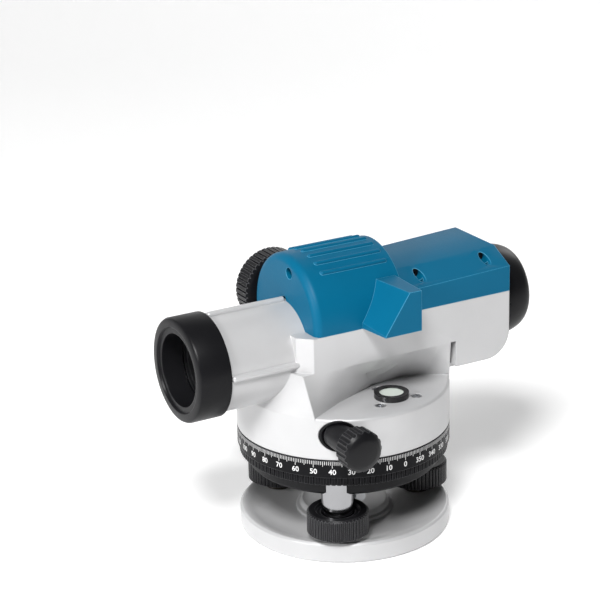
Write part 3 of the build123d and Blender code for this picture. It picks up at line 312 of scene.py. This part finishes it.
# ---- Horizontal circle ------------------------------------------------------------
# A black moulded ring that turns by hand on the tribrach. White degree lines hang
# from its top edge, longer every five and ten, over upright figures every ten.
circle_black = Finish("black_circle", IOR=1.2, Specular_IOR_Level=0.4)
# The ring's sharp edges are painted dark grey: a painted highlight on the black moulding.
circle_painted_highlight = circle_black.worn(0.0005)
circle_black.feed("Base Color", circle_black.colours(circle_painted_highlight, (0.005, 0.005, 0.006), (0.08, 0.08, 0.085)))
circle_grain = circle_black.noise(1600.0)
circle_black.feed("Roughness", circle_grain * 0.15 + 0.28)
circle_black.relief(circle_grain, 0.00001, 0.0005)
dress(["horizontal_circle"], circle_black.material)
white_ink = plain_finish("white_ink", (0.66, 0.66, 0.66), (0.74, 0.74, 0.74), 0.5, 2500.0, 0.00001, 0.0001)
circle_low, circle_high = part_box("horizontal_circle")
circle_radius = circle_high.x
circle_top = circle_high.z
zero_mark = math.radians(93.6)
ink_rise = 0.00004
line_lengths = (0.0021, 0.0030, 0.0039)
line_half_width = 0.00014
line_top_gap = 0.0004
figure_size = 0.0042
figure_middle_gap = 0.0067


def wrapped(angle, z):
    """Points at height z on the ink's cylinder: (r cos angle, r sin angle, z), r just outside the circle."""
    radius = circle_radius + ink_rise
    return np.stack([radius * np.cos(angle), radius * np.sin(angle), z], axis=-1)


def degree_lines():
    """360 upright quads: line n is at zero_mark - n degrees, longer every five, longest every ten."""
    n = np.arange(360)
    short, middle, long = line_lengths
    length = np.where(n % 10 == 0, long, np.where(n % 5 == 0, middle, short))
    half = line_half_width / circle_radius
    angle = zero_mark - np.radians(n)
    corner_angle = np.stack([angle - half, angle + half, angle + half, angle - half], axis=-1)
    top = np.full(360, circle_top - line_top_gap)
    z = np.stack([top, top, top - length, top - length], axis=-1)
    return wrapped(corner_angle, z), np.arange(4 * len(n)).reshape(-1, 4)


def figures():
    """Flat outline letters laid round the ring: letter x becomes angle, letter y becomes height."""
    points, faces = [], []
    first = 0
    for value in range(0, 360, 10):
        text = bpy.data.curves.new("figure", "FONT")
        text.body = str(value)
        text.size = figure_size
        text.align_x = "CENTER"
        text.align_y = "CENTER"
        text.offset = 0.00006
        text.resolution_u = 3
        holder = bpy.data.objects.new("figure", text)
        flat = holder.to_mesh()
        count = len(flat.vertices)
        spot = np.zeros(count * 3)
        flat.vertices.foreach_get("co", spot)
        spot = spot.reshape(-1, 3)
        angle = zero_mark - math.radians(value) + spot[:, 0] / circle_radius
        points.append(wrapped(angle, circle_top - figure_middle_gap + spot[:, 1]))
        faces += [[first + corner for corner in polygon.vertices] for polygon in flat.polygons]
        first += count
        holder.to_mesh_clear()
        bpy.data.objects.remove(holder)
        bpy.data.curves.remove(text)
    return np.concatenate(points), faces


def ink(name, points, faces):
    """White print on the circle: a thin skin that turns with it."""
    mesh = bpy.data.meshes.new(name)
    mesh.from_pydata(points.reshape(-1, 3).tolist(), [], [list(face) for face in faces])
    centre = np.zeros(len(mesh.polygons) * 3)
    normal = np.zeros(len(mesh.polygons) * 3)
    mesh.polygons.foreach_get("center", centre)
    mesh.polygons.foreach_get("normal", normal)
    if (centre.reshape(-1, 3)[:, :2] * normal.reshape(-1, 3)[:, :2]).sum() < 0:
        mesh.flip_normals()
    mesh.materials.append(white_ink)
    obj = bpy.data.objects.new(name, mesh)
    scene.collection.objects.link(obj)
    skin = obj.modifiers.new("skin", "SOLIDIFY")
    skin.thickness = 0.00003
    skin.offset = -1
    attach(obj, "circle")


ink("degree_lines", *degree_lines())
ink("degree_figures", *figures())


# ---- Endless drive ----------------------------------------------------------------
# A brass worm wheel clamped to the axis and a steel cross shaft, carried in two black
# bushes in the drum, with a scalloped black knob on each end.
black_plastic = plain_finish(
    "black_plastic", (0.005, 0.005, 0.006), (0.008, 0.008, 0.009), 0.33, 1500.0, 0.00002, 0.0007,
    IOR=1.25, Specular_IOR_Level=0.4,
)
dress(["worm_wheel"], brass)
dress(["tangent_shaft"], steel)
dress(["tangent_bushes"], black_plastic)
dress(["tangent_knob_left", "tangent_knob_right"], rubber)


# ---- Housing ----------------------------------------------------------------------
# One silver-painted casting: drum, waisted neck, body and telescope tube, screwed to
# the steel spindle that stands in the tribrach.
dress(["main_housing"], silver, 32.0)
dress(["spindle", "spindle_screws", "spindle_nut"], steel)


# ---- Objective ----------------------------------------------------------------------
# A coated lens in a black cell, locked by a threaded ring, behind a black rubbery
# ring that is pushed over the end of the tube.
dress(["objective_ring"], black_plastic)
dress(["objective_cell", "objective_retainer"], black_paint)


def glass(name, tint, coat):
    """Clear glass with a faint smear in its gloss."""
    finish = Finish(name, Transmission_Weight=1.0, IOR=1.5, Coat_Weight=coat, Coat_IOR=3.0)
    finish.feed("Base Color", finish.colours(finish.noise(30.0), tint, tint))
    finish.feed("Roughness", finish.noise(120.0) * 0.03)
    return finish.material


coated_glass = glass("coated_glass", (0.86, 0.92, 0.90), 1.0)
clear_glass = glass("clear_glass", (0.94, 0.97, 0.96), 0.0)
dress(["objective_lens", "eye_lens"], coated_glass, 60.0)


# ---- Focusing and compensator ---------------------------------------------------------
# The ribbed knob turns a pinion that slides the focusing lens along two rods; behind
# it a copper pendulum with a prism hangs in an aluminium frame between two magnets.
aluminium = plain_finish(
    "machined_aluminium", (0.55, 0.56, 0.58), (0.62, 0.63, 0.65), 0.35, 900.0, 0.00001, 0.0002,
    stretch=(8, 1, 1), Metallic=1.0,
)
copper = plain_finish(
    "copper", (0.50, 0.22, 0.12), (0.60, 0.30, 0.17), 0.35, 700.0, 0.00001, 0.0003, Metallic=1.0
)
dress(["focus_bush", "focus_rack"], brass)
dress(["focus_shaft", "guide_rods"], steel)
dress(["focus_knob"], rubber)
dress(["focus_cell", "compensator_frame"], aluminium)
dress(["focus_lens", "prism", "reticle_glass", "field_lens"], clear_glass, 60.0)
dress(["pendulum"], copper)
dress(["damper_magnets"], steel)


# ---- Eyepiece ---------------------------------------------------------------------------
# A black reticle cell and collar, an aluminium eyepiece tube with two lenses, and a
# smooth black ring that turns it.
dress(["reticle_cell"], black_paint)
dress(["eyepiece_collar", "dioptre_ring"], black_plastic)
dress(["eyepiece_tube"], aluminium)


# ---- Cover and bubble hood ------------------------------------------------------------------
# Two mouldings in fine-grained blue plastic, held by black socket screws in deep
# recesses. The hood holds a mirror that shows the bubble from behind.
def blue_moulding():
    """Deep blue with a paler line on its edges, where moulded plastic catches the light."""
    finish = Finish("blue_moulding", IOR=1.25, Specular_IOR_Level=0.4)
    body = finish.colours(finish.noise(40.0), (0.0, 0.095, 0.185), (0.0, 0.107, 0.205))
    paler_edge = {0: finish.worn(0.0007) * 0.9, 6: body, 7: (0.10, 0.38, 0.58, 1)}
    finish.feed("Base Color", finish.place.node("ShaderNodeMix", {"data_type": "RGBA"}, paler_edge, 2))
    grain = finish.noise(1400.0)
    finish.feed("Roughness", grain * 0.16 + 0.36)
    finish.relief(grain, 0.00003, 0.0006)
    return finish.material


blue = blue_moulding()
black_steel = plain_finish(
    "black_steel", (0.006, 0.006, 0.007), (0.012, 0.012, 0.013), 0.4, 900.0, 0.00001, 0.0002, Metallic=0.6
)
mirror = plain_finish(
    "silvered_glass", (0.88, 0.90, 0.91), (0.90, 0.92, 0.93), 0.09, 300.0, 0.0, 0.0001, Metallic=1.0
)
dress(["top_cover", "bubble_hood"], blue)
dress(["cover_screws"], black_steel)
dress(["hood_mirror"], mirror)


# ---- Circular bubble --------------------------------------------------------------------------
# A glass vial with pale liquid in a glossy black ring on the shelf, and the three
# screws that adjust it.
black_gloss = plain_finish(
    "black_gloss", (0.008, 0.008, 0.009), (0.012, 0.012, 0.013), 0.16, 900.0, 0.0, 0.0004
)
dress(["vial_ring"], black_gloss)
dress(["vial_screws"], steel)
liquid = plain_finish(
    "pale_liquid", (0.60, 0.66, 0.60), (0.66, 0.72, 0.66), 0.12, 200.0, 0.0, 0.0002, Coat_Weight=1.0
)
dress(["vial_glass"], liquid)
